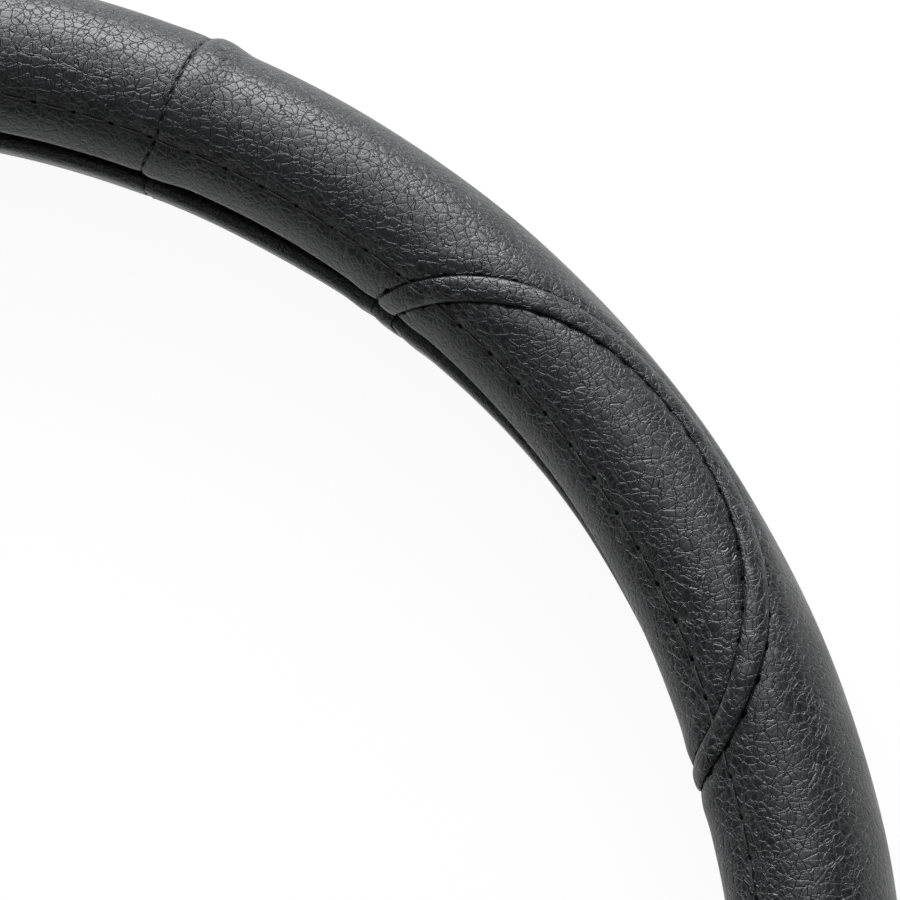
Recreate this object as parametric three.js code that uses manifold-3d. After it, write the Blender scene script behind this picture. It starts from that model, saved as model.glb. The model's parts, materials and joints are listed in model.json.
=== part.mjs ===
// A steering wheel cover: a soft ring that is pulled over the rim of a steering wheel.
// A moulded rubber ring with a C-shaped section lines four leather-look panels, two grips at
// the front and two at the back, each grip framed by an arched piping. The leather is hemmed
// round both lips of the slot that faces the middle of the ring, and every seam is an open crease.
// Millimetres, +Z out of the front face, with the ring lying on its back on the plane Z = 0.
import * as THREE from "three";
import { mergeVertices } from "three/addons/utils/BufferGeometryUtils.js";
import Module from "manifold-3d";

const wasm = await Module();
wasm.setup();

// Ring and tube
const COVER_DIAMETER = 380; // across the outside of the ring
const TUBE_WIDTH = 27.5; // of the tube's oval section, along the ring's radius
const TUBE_HEIGHT = 35.5; // of the same section, along the ring's axis
const SLOT_WIDTH = 4.9; // between the two lips
const SLOT_RISE = 2.45; // of the slot's middle over the middle of the tube

// Leather and rubber
const SKIN = 1.1; // thickness of the leather
const RUBBER = 1.6; // wall of the rubber ring
const RUBBER_EDGE = 0.8; // wall of the rubber ring's edges, which lie inside the hems
const LAYER_GAP = 0.3; // clearance between two layers
const HEM_DEPTH = 12; // from a lip to the raw edge of the leather inside
const HEM_STITCH = 10; // from a lip to its row of stitches
const SEAM_SLIT = 0.4; // clearance between two pieces of leather at the bottom of their seam
const CREASE_HALF_WIDTH = 0.9; // of the crease at a seam and of the groove at a row of stitches
const GROOVE_DEPTH = 0.35; // of the groove along a hem's row of stitches

// Panels, grips and piping, in degrees round the ring and round the section
const CROSS_SEAM = 22.3; // from the top, or the bottom, of the ring to each cross seam
const GRIP_RISE = 33.3; // of a grip's middle over the level of the ring's middle
const GRIP_HALF_SPAN = 18.5; // half of the arch's span round the ring
const ARCH_PEAK = 40.5; // section angle of the arch's crown
const ARCH_REACH = 151; // section angle from the crown to where the arch would run straight back
const ARCH_SQUARENESS = 1.2; // power that sets how square the arch's shoulders are
const PIPING_WIDTH = 4.6; // between the piping's two seams
const PIPING_RISE = 1.1; // of the piping's crown over the leather

// Fineness of the facets
const RING_STEPS = 32;
const SECTION_STEPS = 12;
const FOLD_STEPS = 3;
const ARCH_STEPS = 16;

const LEATHER_LOOK = { color: 0x2b2c2f, roughness: 0.5, metalness: 0 };
const PIPING_LOOK = { color: 0x303134, roughness: 0.45, metalness: 0 };
const RUBBER_LOOK = { color: 0x161616, roughness: 0.85, metalness: 0 };

const radians = THREE.MathUtils.degToRad;
const RING_STEP = (2 * Math.PI) / RING_STEPS;
const SECTION_STEP = (2 * Math.PI) / SECTION_STEPS;
const REST_DEPTH = TUBE_HEIGHT / 2; // from the tube's middle to its flat back
const TUBE_RADIUS = (COVER_DIAMETER - TUBE_WIDTH) / 2; // from the ring's axis to the tube's middle
const HALF_WIDTH = TUBE_WIDTH / 2 / Math.cos(SECTION_STEP / 2); // of the oval through the facets' corners
const HALF_HEIGHT = REST_DEPTH / Math.cos(SECTION_STEP / 2); // of the same oval
const FOLD_RADIUS = (2 * SKIN + RUBBER_EDGE + 2 * LAYER_GAP) / 2;

// The tube's oval section. An angle is measured from the outer side of the ring towards the front.
function ovalNormal(angle) {
  return new THREE.Vector2(HALF_HEIGHT * Math.cos(angle), HALF_WIDTH * Math.sin(angle)).normalize();
}

function ovalPoint(angle, rise) {
  const onFace = new THREE.Vector2(HALF_WIDTH * Math.cos(angle), HALF_HEIGHT * Math.sin(angle));
  return onFace.addScaledVector(ovalNormal(angle), rise);
}

// The section angle reached by going a distance round the oval from a start angle.
function ovalAngleAfter(start, distance) {
  const steps = 64;
  let angle = start;
  for (let i = 0; i < steps; i++) {
    const speed = Math.hypot(HALF_WIDTH * Math.sin(angle), HALF_HEIGHT * Math.cos(angle));
    angle += distance / steps / speed;
  }
  return angle;
}

// Section angles of the facets' corners between two angles, with the two angles themselves.
function facetAngles(from, to) {
  const least = SECTION_STEP / 8;
  const first = -Math.PI / 2 - SECTION_STEP * (SECTION_STEPS + 0.5);
  const inner = [];
  for (let angle = first; angle < to - least; angle += SECTION_STEP)
    if (angle > from + least) inner.push(angle);
  return [from, ...inner, to];
}

const frontLip = Math.PI - Math.asin((SLOT_RISE + SLOT_WIDTH / 2) / HALF_HEIGHT);
const rearLip = -Math.PI - Math.asin((SLOT_RISE - SLOT_WIDTH / 2) / HALF_HEIGHT);
const frontFold = ovalAngleAfter(frontLip, -FOLD_RADIUS);
const rearFold = ovalAngleAfter(rearLip, FOLD_RADIUS);
const frontRawEdge = ovalAngleAfter(frontLip, -HEM_DEPTH);
const rearRawEdge = ovalAngleAfter(rearLip, HEM_DEPTH);

// One corner of the line that the leather's face follows: over the tube, round a fold, or on a hem.
function station(point, normal) {
  return { point, normal, reach: 0 };
}

function foldStations(angle, turn) {
  const middle = ovalPoint(angle, -FOLD_RADIUS);
  const start = ovalNormal(angle).angle();
  return Array.from({ length: FOLD_STEPS - 1 }, (_, i) => {
    const heading = start + (turn * Math.PI * (i + 1)) / FOLD_STEPS;
    const normal = new THREE.Vector2(Math.cos(heading), Math.sin(heading));
    return station(middle.clone().addScaledVector(normal, FOLD_RADIUS), normal);
  });
}

function hemStations(fold, rawEdge) {
  const angles = fold > rawEdge ? facetAngles(rawEdge, fold).reverse() : facetAngles(fold, rawEdge);
  return angles.map((a) => station(ovalPoint(a, -2 * FOLD_RADIUS), ovalNormal(a).negate()));
}

// The leather's face in the section, from the raw edge at the back to the raw edge at the front.
// Each station's reach is its distance along the leather from the front lip's fold.
const face = [
  ...hemStations(rearFold, rearRawEdge).reverse(),
  ...foldStations(rearFold, -1).reverse(),
  ...facetAngles(rearFold, frontFold).map((a) => station(ovalPoint(a, 0), ovalNormal(a))),
  ...foldStations(frontFold, 1),
  ...hemStations(frontFold, frontRawEdge),
];
for (let i = 1; i < face.length; i++)
  face[i].reach = face[i - 1].reach + face[i].point.distanceTo(face[i - 1].point);
const LEATHER_SPAN = face.at(-1).reach;

// How far along the leather a section angle lies.
function reachOfAngle(angle) {
  const target = ovalPoint(angle, 0);
  let best = { distance: Infinity, reach: 0 };
  for (let i = 1; i < face.length; i++) {
    const [a, b] = [face[i - 1], face[i]];
    const edge = b.point.clone().sub(a.point);
    const along = THREE.MathUtils.clamp(target.clone().sub(a.point).dot(edge) / edge.lengthSq(), 0, 1);
    const distance = a.point.clone().addScaledVector(edge, along).distanceTo(target);
    if (distance < best.distance) best = { distance, reach: a.reach + along * (b.reach - a.reach) };
  }
  return best.reach;
}

// The section point at a reach along the leather and a rise over its face.
function onSection(reach, rise) {
  const next = face.findIndex((s) => s.reach > reach);
  const i = next < 0 ? face.length - 1 : Math.max(next, 1);
  const [a, b] = [face[i - 1], face[i]];
  const along = (reach - a.reach) / (b.reach - a.reach);
  const from = a.point.clone().addScaledVector(a.normal, rise);
  const to = b.point.clone().addScaledVector(b.normal, rise);
  return from.lerp(to, along);
}

// Carries a section point to an angle round the ring, on the facets between two ring steps.
function onRing(angle, sectionPoint) {
  const step = Math.floor(angle / RING_STEP + 1e-9);
  const along = angle / RING_STEP - step;
  const radius = TUBE_RADIUS + sectionPoint.x;
  const from = new THREE.Vector3().setFromCylindricalCoords(radius, Math.PI / 2 + step * RING_STEP, 0);
  const to = new THREE.Vector3().setFromCylindricalCoords(radius, Math.PI / 2 + (step + 1) * RING_STEP, 0);
  const flat = from.lerp(to, along);
  return new THREE.Vector3(flat.x, -flat.z, sectionPoint.y);
}

// A closed solid through rings of points that have as many points each. A loop joins its last
// ring to its first, and any other solid is capped with the flat profile that it was given.
function loft(rings, profile) {
  const count = rings[0].length;
  const index = [];
  const spans = profile ? rings.length - 1 : rings.length;
  for (let i = 0; i < spans; i++) {
    const [low, high] = [i * count, ((i + 1) % rings.length) * count];
    for (let k = 0; k < count; k++) {
      const next = (k + 1) % count;
      index.push(low + k, low + next, high + next, low + k, high + next, high + k);
    }
  }
  if (profile) {
    const last = (rings.length - 1) * count;
    for (const [a, b, c] of THREE.ShapeUtils.triangulateShape(profile, []))
      index.push(c, b, a, last + a, last + b, last + c);
  }
  const geometry = new THREE.BufferGeometry().setFromPoints(rings.flat()).setIndex(index);
  return solidOf(geometry);
}

// The manifold solid of a geometry, with its faces turned outwards.
function solidOf(geometry) {
  const shape = geometry.clone();
  shape.deleteAttribute("normal");
  shape.deleteAttribute("uv");
  const merged = mergeVertices(shape, 1e-4);
  const triVerts = new Uint32Array(merged.index.array);
  const vertProperties = merged.attributes.position.array;
  const volume = signedVolume(vertProperties, triVerts);
  if (volume < 0)
    for (let i = 0; i < triVerts.length; i += 3)
      [triVerts[i + 1], triVerts[i + 2]] = [triVerts[i + 2], triVerts[i + 1]];
  return new wasm.Manifold(new wasm.Mesh({ numProp: 3, vertProperties, triVerts }));
}

function signedVolume(positions, corners) {
  const [a, b, c] = [new THREE.Vector3(), new THREE.Vector3(), new THREE.Vector3()];
  let volume = 0;
  for (let i = 0; i < corners.length; i += 3) {
    a.fromArray(positions, 3 * corners[i]);
    b.fromArray(positions, 3 * corners[i + 1]);
    c.fromArray(positions, 3 * corners[i + 2]);
    volume += a.dot(b.cross(c)) / 6;
  }
  return volume;
}

// Sweeps a section outline once round the ring.
function revolve(outline) {
  return loft(Array.from({ length: RING_STEPS }, (_, i) => outline.map((p) => onRing(i * RING_STEP, p))));
}

// A path on the leather is a list of places: an angle round the ring and a reach along the leather.
// A sweep carries a profile of side steps and rises along it, bent with the leather's face.
function sweep(path, profile, closed = false) {
  const rings = path.map((place, i) => {
    const before = path[closed ? (i + path.length - 1) % path.length : Math.max(i - 1, 0)];
    const after = path[closed ? (i + 1) % path.length : Math.min(i + 1, path.length - 1)];
    return profile.map(({ x, y }) => {
      const moved = sideStep(place, before, after, x);
      return onRing(moved.angle, onSection(moved.reach, y));
    });
  });
  return loft(rings, closed ? undefined : profile);
}

// The place a step to the side of a path, square to it on the leather.
function sideStep(place, before, after, step) {
  const radius = TUBE_RADIUS + onSection(place.reach, 0).x;
  const turn = Math.atan2(Math.sin(after.angle - before.angle), Math.cos(after.angle - before.angle));
  const heading = new THREE.Vector2(turn * radius, after.reach - before.reach).normalize();
  return {
    angle: place.angle - (step * heading.y) / radius,
    reach: place.reach + step * heading.x,
  };
}

function beside(path, step) {
  return path.map((place, i) =>
    sideStep(place, path[Math.max(i - 1, 0)], path[Math.min(i + 1, path.length - 1)], step),
  );
}

const OVERRUN = 2; // how far every seam runs past a raw edge

// Straight across the leather, past both of its raw edges.
function crossPath(angle) {
  const inner = face.slice(1, -1).map((s) => s.reach);
  return [-OVERRUN, ...inner, LEATHER_SPAN + OVERRUN].map((reach) => ({ angle, reach }));
}

// Right round the ring.
function hemPath(reach) {
  return Array.from({ length: RING_STEPS }, (_, i) => ({ angle: i * RING_STEP, reach }));
}

// The arch that frames a grip: from past one raw edge, over the lip, up to its crown and back.
function archPath(middle, isFront) {
  const facing = isFront ? 1 : -1;
  const fold = isFront ? frontFold : -rearFold;
  const end = Math.acos((1 - (fold - radians(ARCH_PEAK)) / radians(ARCH_REACH)) ** (1 / ARCH_SQUARENESS));
  const arch = Array.from({ length: ARCH_STEPS + 1 }, (_, i) => {
    const swing = end * ((2 * i) / ARCH_STEPS - 1);
    const rise = radians(ARCH_PEAK) + radians(ARCH_REACH) * (1 - Math.cos(swing) ** ARCH_SQUARENESS);
    const angle = middle + radians(GRIP_HALF_SPAN) * Math.sin(swing);
    return { angle, reach: reachOfAngle(facing * rise) };
  });
  const towardsEdge = face
    .map((s) => s.reach)
    .filter((reach) => facing * (reach - arch[0].reach) > SKIN / 2)
    .sort((a, b) => facing * (a - b));
  towardsEdge[towardsEdge.length - 1] += facing * OVERRUN;
  const finish = towardsEdge.map((reach) => ({ angle: arch.at(-1).angle, reach }));
  const start = towardsEdge.map((reach) => ({ angle: arch[0].angle, reach })).reverse();
  return [...start, ...arch, ...finish];
}

function profileOf(points) {
  return points.map(([x, y]) => new THREE.Vector2(x, y));
}

// A crease through the leather, which is wider at the face than at the bottom of the seam.
const slitDepth = (SKIN + FOLD_RADIUS) / 2;
const creaseSlope = (CREASE_HALF_WIDTH - SEAM_SLIT / 2) / slitDepth;
const creaseCut = profileOf([
  [-CREASE_HALF_WIDTH - creaseSlope * SKIN, SKIN],
  [-SEAM_SLIT / 2, -slitDepth],
  [SEAM_SLIT / 2, -slitDepth],
  [CREASE_HALF_WIDTH + creaseSlope * SKIN, SKIN],
]);

// A shallow groove, cut from over the crown of the piping.
const grooveCut = profileOf([
  [-CREASE_HALF_WIDTH, PIPING_RISE + SKIN],
  [-CREASE_HALF_WIDTH, 0],
  [0, -GROOVE_DEPTH],
  [CREASE_HALF_WIDTH, 0],
  [CREASE_HALF_WIDTH, PIPING_RISE + SKIN],
]);

const pipingHalfWidth = PIPING_WIDTH / 2 - SEAM_SLIT / 2;
const pipingProfile = profileOf([
  [-pipingHalfWidth * 0.9, LAYER_GAP - SKIN],
  [pipingHalfWidth * 0.9, LAYER_GAP - SKIN],
  [pipingHalfWidth, 0],
  [pipingHalfWidth * 0.7, PIPING_RISE * 0.7],
  [0, PIPING_RISE],
  [-pipingHalfWidth * 0.7, PIPING_RISE * 0.7],
  [-pipingHalfWidth, 0],
]);

// Places round the ring
const crossSeams = {
  upper_right: radians(90 - CROSS_SEAM),
  upper_left: radians(90 + CROSS_SEAM),
  lower_left: radians(270 - CROSS_SEAM),
  lower_right: radians(270 + CROSS_SEAM),
};
const grips = {
  right_front: { middle: radians(GRIP_RISE), isFront: true },
  right_rear: { middle: radians(GRIP_RISE), isFront: false },
  left_front: { middle: radians(180 - GRIP_RISE), isFront: true },
  left_rear: { middle: radians(180 - GRIP_RISE), isFront: false },
};
const hemReaches = {
  front: reachOfAngle(ovalAngleAfter(frontLip, -HEM_STITCH)),
  rear: reachOfAngle(ovalAngleAfter(rearLip, HEM_STITCH)),
};

// Everything under the flat back is pressed flat by the surface that the ring lies on.
function restTrim() {
  const slab = new THREE.BoxGeometry(2 * COVER_DIAMETER, 2 * COVER_DIAMETER, TUBE_HEIGHT);
  slab.translate(0, 0, -REST_DEPTH - TUBE_HEIGHT / 2);
  return solidOf(slab);
}

// The moulded ring that lines the leather, with thin edges that lie inside the two hems. A margin
// makes it thicker all round.
function liner(margin = 0) {
  const outerRise = margin - SKIN - LAYER_GAP;
  const edgeRise = outerRise - RUBBER_EDGE - 2 * margin;
  const front = ovalAngleAfter(frontFold, margin - LAYER_GAP);
  const rear = ovalAngleAfter(rearFold, LAYER_GAP - margin);
  const frontStep = ovalAngleAfter(frontRawEdge, margin - LAYER_GAP);
  const rearStep = ovalAngleAfter(rearRawEdge, LAYER_GAP - margin);
  const outside = facetAngles(rear, front).map((a) => ovalPoint(a, outerRise));
  const thin = (from, to) => facetAngles(from, to).map((a) => ovalPoint(a, edgeRise));
  const thick = facetAngles(rearStep, frontStep).map((a) => ovalPoint(a, outerRise - RUBBER - 2 * margin));
  return revolve([
    ...outside,
    ...thin(frontStep, front).reverse(),
    ...thick.reverse(),
    ...thin(rear, rearStep).reverse(),
  ]);
}

// One strip of leather round the whole ring, cut apart at its seams into panels and grips.
function leatherPieces() {
  const outside = face.map((s) => s.point);
  const inside = face.map((s) => s.point.clone().addScaledVector(s.normal, -SKIN));
  let leather = revolve([...outside, ...inside.reverse()]);
  for (const angle of Object.values(crossSeams))
    leather = leather.subtract(sweep(crossPath(angle), creaseCut));
  for (const { middle, isFront } of Object.values(grips)) {
    const arch = archPath(middle, isFront);
    for (const side of [-1, 1])
      leather = leather.subtract(sweep(beside(arch, (side * PIPING_WIDTH) / 2), creaseCut));
  }
  return leather.decompose();
}

// The piece of leather at an angle round the ring and a section angle.
function pieceAt(pieces, angle, sectionAngle) {
  const probe = new THREE.BoxGeometry(SKIN / 4, SKIN / 4, SKIN / 4);
  const middle = onRing(angle, onSection(reachOfAngle(sectionAngle), -SKIN / 2));
  probe.translate(middle.x, middle.y, middle.z);
  const cube = solidOf(probe);
  const found = pieces.find((piece) => piece.intersect(cube).volume() > 0);
  if (!found) throw new Error("no leather at " + angle + ", " + sectionAngle);
  return found;
}

const pieces = leatherPieces();
const grooves = Object.values(hemReaches).map((reach) => sweep(hemPath(reach), grooveCut, true));
const underside = restTrim();
const clearOfLiner = liner(LAYER_GAP);

function stitched(piece) {
  return grooves.reduce((left, groove) => left.subtract(groove), piece);
}

const cover = new THREE.Group();
cover.position.z = REST_DEPTH;

function addPiece(name, solid, look) {
  const { vertProperties, triVerts } = solid.getMesh();
  const geometry = new THREE.BufferGeometry();
  geometry.setAttribute("position", new THREE.BufferAttribute(vertProperties, 3));
  geometry.setIndex(new THREE.BufferAttribute(triVerts, 1));
  const mesh = new THREE.Mesh(geometry, new THREE.MeshStandardMaterial(look));
  mesh.name = name;
  cover.add(mesh);
}

addPiece("inner_ring", liner(), RUBBER_LOOK);

addPiece("top_panel", stitched(pieceAt(pieces, radians(90), 0)), LEATHER_LOOK);
addPiece("bottom_panel", stitched(pieceAt(pieces, radians(270), 0)), LEATHER_LOOK);
addPiece("right_panel", stitched(pieceAt(pieces, radians(0), 0)), LEATHER_LOOK);
addPiece("left_panel", stitched(pieceAt(pieces, radians(180), 0)), LEATHER_LOOK);

for (const [name, { middle, isFront }] of Object.entries(grips)) {
  const facing = isFront ? 1 : -1;
  addPiece(name + "_grip", stitched(pieceAt(pieces, middle, facing * radians(100))), LEATHER_LOOK);
  const strip = archPath(middle, isFront).map(({ angle, reach }) => ({
    angle,
    reach: THREE.MathUtils.clamp(reach, 0, LEATHER_SPAN),
  }));
  const piping = stitched(sweep(strip, pipingProfile)).subtract(underside).subtract(clearOfLiner);
  addPiece(name + "_piping", piping, PIPING_LOOK);
}

export default cover;
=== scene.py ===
"""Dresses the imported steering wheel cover: grained leather panels and grips, padded piping,
folded hems, sewing thread and the moulded ring that lines them, on a plain pale floor."""

import json
import math
from functools import partial

import bmesh
import bpy
import numpy as np
from mathutils import Euler, Matrix, Vector
from mathutils.bvhtree import BVHTree

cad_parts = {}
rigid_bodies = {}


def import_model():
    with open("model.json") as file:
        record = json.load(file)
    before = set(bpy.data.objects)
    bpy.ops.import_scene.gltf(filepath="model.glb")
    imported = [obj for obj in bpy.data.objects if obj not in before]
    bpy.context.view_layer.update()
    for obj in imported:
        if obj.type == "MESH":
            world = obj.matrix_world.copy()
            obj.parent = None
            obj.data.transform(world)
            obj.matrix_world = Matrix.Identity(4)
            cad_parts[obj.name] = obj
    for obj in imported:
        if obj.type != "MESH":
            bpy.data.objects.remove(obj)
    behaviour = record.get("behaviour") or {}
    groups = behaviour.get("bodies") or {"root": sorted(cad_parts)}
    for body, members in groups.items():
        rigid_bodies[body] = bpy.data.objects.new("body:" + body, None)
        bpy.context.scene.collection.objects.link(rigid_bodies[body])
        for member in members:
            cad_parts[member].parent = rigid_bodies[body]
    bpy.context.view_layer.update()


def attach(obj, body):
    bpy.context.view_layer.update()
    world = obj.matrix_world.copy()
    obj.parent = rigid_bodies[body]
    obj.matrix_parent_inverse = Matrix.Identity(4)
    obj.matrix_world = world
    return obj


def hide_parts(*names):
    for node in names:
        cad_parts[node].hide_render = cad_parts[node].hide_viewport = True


bl_info = {
    "name": "Steering wheel cover",
    "version": (1, 0, 0),
    "blender": (4, 5, 0),
    "location": "3D View > Sidebar > Cover",
    "description": "Builds the leather, piping, thread and stage of a steering wheel cover",
    "category": "Add Mesh",
}

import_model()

# The ring and its tube, as the solids have them. Lengths are in metres and angles in radians.
MM = 0.001
COVER_DIAMETER = 380 * MM
TUBE_WIDTH = 27.5 * MM
TUBE_HEIGHT = 35.5 * MM
SLOT_WIDTH = 4.9 * MM
SLOT_RISE = 2.45 * MM
SKIN = 1.1 * MM
RUBBER = 1.6 * MM
RUBBER_EDGE = 0.8 * MM
LAYER_GAP = 0.3 * MM
HEM_DEPTH = 12 * MM
HEM_STITCH = 10 * MM
CROSS_SEAM = math.radians(22.3)
GRIP_RISE = math.radians(33.3)
GRIP_HALF_SPAN = math.radians(18.5)
ARCH_PEAK = math.radians(40.5)
ARCH_REACH = math.radians(151)
ARCH_SQUARENESS = 1.2
PIPING_WIDTH = 4.6 * MM
RING_STEPS = 240  # sides of the moulded ring, seen from the front
PLUG_DEPTH = 0.4 * MM  # the depth of a dark plug that paints a needle hole's shade
FLOOR_GAP = 0.1 * MM  # the floor lies just under the cover's back

HALF_WIDTH = TUBE_WIDTH / 2
HALF_HEIGHT = TUBE_HEIGHT / 2
TUBE_RADIUS = COVER_DIAMETER / 2 - HALF_WIDTH
FOLD_RADIUS = (2 * SKIN + RUBBER_EDGE + 2 * LAYER_GAP) / 2

# What the soft, sewn cover does that the solids leave out.
PRESSED = 0.25 * MM  # how far the soft back would sag below the floor, and is pressed flat
SEAM_PULL = math.radians(0.7)  # how far the sewing draws a cross seam aside at the lips
SEAM_PULL_WIDTH = math.radians(5)
ARCH_LEAN = math.radians(0.68)  # how far an arch's upper leg leans up the ring
ARCH_LEAN_MIDDLE = 0.55
ARCH_LEAN_WIDTH = 0.34

RIGHT_ANGLE = math.pi / 2
FRONT_LIP = math.pi - math.asin((SLOT_RISE + SLOT_WIDTH / 2) / HALF_HEIGHT)
REAR_LIP = -math.pi - math.asin((SLOT_RISE - SLOT_WIDTH / 2) / HALF_HEIGHT)

GRIPS = {
    "right_front": (GRIP_RISE, 1),
    "right_rear": (GRIP_RISE, -1),
    "left_front": (math.pi - GRIP_RISE, 1),
    "left_rear": (math.pi - GRIP_RISE, -1),
}
SEAMS = {
    "upper_right": RIGHT_ANGLE - CROSS_SEAM,
    "upper_left": RIGHT_ANGLE + CROSS_SEAM,
    "lower_left": 3 * RIGHT_ANGLE - CROSS_SEAM,
    "lower_right": 3 * RIGHT_ANGLE + CROSS_SEAM,
}


def bump(distance, width):
    """One at no distance, and soon nothing beyond the width."""
    return np.exp(-((distance / width) ** 2))


def ease(value, low, high):
    """A soft step from nothing at low to one at high."""
    t = np.clip((value - low) / (high - low), 0, 1)
    return t * t * (3 - 2 * t)


# The leather's face in the tube's section


def oval_point(angle, rise=0.0):
    """Points of the tube's oval section, and the directions out of it."""
    angle = np.asarray(angle, dtype=float)
    normal = np.stack([HALF_HEIGHT * np.cos(angle), HALF_WIDTH * np.sin(angle)], axis=-1)
    normal /= np.linalg.norm(normal, axis=-1, keepdims=True)
    point = np.stack([HALF_WIDTH * np.cos(angle), HALF_HEIGHT * np.sin(angle)], axis=-1)
    return point + rise * normal, normal


def angle_after(start, distance, steps=200):
    """The section angle that lies a distance round the oval from a start angle."""
    angle = start
    for _ in range(steps):
        speed = math.hypot(HALF_WIDTH * math.sin(angle), HALF_HEIGHT * math.cos(angle))
        angle += distance / steps / speed
    return angle


FRONT_FOLD = angle_after(FRONT_LIP, -FOLD_RADIUS)
REAR_FOLD = angle_after(REAR_LIP, FOLD_RADIUS)
FRONT_RAW_EDGE = angle_after(FRONT_LIP, -HEM_DEPTH)
REAR_RAW_EDGE = angle_after(REAR_LIP, HEM_DEPTH)


def fold_line(angle, turn, count=24):
    """The half circle that the leather takes round an edge of the moulded ring."""
    middle, start = oval_point(angle, -FOLD_RADIUS)
    heading = math.atan2(start[1], start[0]) + turn * np.linspace(0, math.pi, count + 1)[1:-1]
    normal = np.stack([np.cos(heading), np.sin(heading)], axis=-1)
    return middle + FOLD_RADIUS * normal, normal


class Face:
    """The leather's face, from its raw edge at the back to its raw edge at the front."""

    def __init__(self):
        hem_rear = oval_point(np.linspace(REAR_RAW_EDGE, REAR_FOLD, 40), -2 * FOLD_RADIUS)
        hem_front = oval_point(np.linspace(FRONT_FOLD, FRONT_RAW_EDGE, 40), -2 * FOLD_RADIUS)
        fold_rear = fold_line(REAR_FOLD, -1)
        fold_front = fold_line(FRONT_FOLD, 1)
        tube = oval_point(np.linspace(REAR_FOLD, FRONT_FOLD, 500))
        self.points = np.concatenate(
            [hem_rear[0], fold_rear[0][::-1], tube[0], fold_front[0], hem_front[0]]
        )
        self.normals = np.concatenate(
            [-hem_rear[1], fold_rear[1][::-1], tube[1], fold_front[1], -hem_front[1]]
        )
        steps = np.linalg.norm(np.diff(self.points, axis=0), axis=1)
        self.reaches = np.concatenate([[0], np.cumsum(steps)])
        self.span = self.reaches[-1]
        first = len(hem_rear[0]) + len(fold_rear[0])
        self.tube_angles = np.linspace(REAR_FOLD, FRONT_FOLD, 500)
        self.tube_reaches = self.reaches[first : first + 500]

    def reach_of(self, angle):
        """How far along the leather a section angle lies."""
        return np.interp(angle, self.tube_angles, self.tube_reaches)

    def at(self, reach):
        """Section points and normals at reaches along the leather."""
        point = np.stack([np.interp(reach, self.reaches, self.points[:, k]) for k in (0, 1)], -1)
        normal = np.stack([np.interp(reach, self.reaches, self.normals[:, k]) for k in (0, 1)], -1)
        normal /= np.linalg.norm(normal, axis=-1, keepdims=True)
        return point, normal


FACE = Face()
FRONT_ROW = FACE.reach_of(angle_after(FRONT_LIP, -HEM_STITCH))
REAR_ROW = FACE.reach_of(angle_after(REAR_LIP, HEM_STITCH))
FRONT_ROW_RADIUS = TUBE_RADIUS + FACE.at(FRONT_ROW)[0][0]
FRONT_EDGE = FACE.reach_of(FRONT_FOLD)
REAR_EDGE = FACE.reach_of(REAR_FOLD)

# The stitches: how many go round a hem, and the distances from hole to hole.
HEM_STITCHES = 148
HEM_PITCH = 2 * math.pi * FRONT_ROW_RADIUS / HEM_STITCHES
SEAM_PITCH = 2.5 * MM
ARCH_PITCH = 5.8 * MM


def at_holes(along, pitch):
    """One at each needle hole of a row, and nothing halfway between two."""
    return 0.5 + 0.5 * np.cos(2 * math.pi * along / pitch)


def on_ring(angle, point):
    """Carries section points to angles round the ring, and lays the ring on the floor."""
    radius = TUBE_RADIUS + point[..., 0]
    return np.stack(
        [radius * np.cos(angle), radius * np.sin(angle), point[..., 1] + HALF_HEIGHT], axis=-1
    )


def pulled(angle, reach):
    """Angles moved with the cross seams, which the sewing draws towards the short panels."""
    angle = np.asarray(angle, dtype=float)
    pull = ease(reach, FRONT_ROW - 2 * MM, FRONT_ROW + 10 * MM)
    pull += 1 - ease(reach, REAR_ROW - 10 * MM, REAR_ROW + 2 * MM)
    shift = np.zeros_like(angle + reach)
    for name, seam in SEAMS.items():
        to_short = 1 if name in ("upper_right", "lower_left") else -1
        off = (angle - seam + math.pi) % (2 * math.pi) - math.pi
        shift += to_short * SEAM_PULL * pull * bump(off, SEAM_PULL_WIDTH)
    return angle + shift


# How far the soft tube departs from a plain ring, in millimetres at degrees from the ring's side
# towards its top: each lip inwards, and the outer side outwards. Both halves are alike.
DRIFTS = {
    "front": (
        (-60, 0.4), (0, 0.8), (8, 1.2), (14, 1.5), (20, 1.5), (28, 0.7), (36, 0.2), (45, 0.0),
    ),
    "rear": (
        (-60, -0.2), (20, -0.4), (26, -0.3), (34, -0.7), (46, -0.4), (52, 0.0), (60, 0.5),
        (68, 0.2), (76, 0.0),
    ),
    "outer": (
        (-80, 0.6), (-20, 0.4), (8, 0.55), (14, 0.3), (18, 0.0), (26, -0.25), (36, -0.35),
        (42, 0.0), (50, 0.25), (60, 0.45), (66, 0.7), (70, 1.15), (76, 1.7),
    ),
}


def smoothed(table, steps_per_degree=4, blur=2.5, reach=6):
    """A table of degrees and lengths as a smooth curve over the half turn from bottom to top."""
    degrees = np.linspace(-90, 90, 180 * steps_per_degree + 1)
    raw = np.interp(degrees, *np.array(table).T)
    kernel = bump(np.linspace(-reach, reach, 2 * reach * steps_per_degree + 1), blur)
    padded = np.pad(raw, reach * steps_per_degree, mode="edge")
    return np.radians(degrees), np.convolve(padded, kernel / kernel.sum(), mode="valid") * MM


DRIFT_CURVES = {name: smoothed(table) for name, table in DRIFTS.items()}


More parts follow.
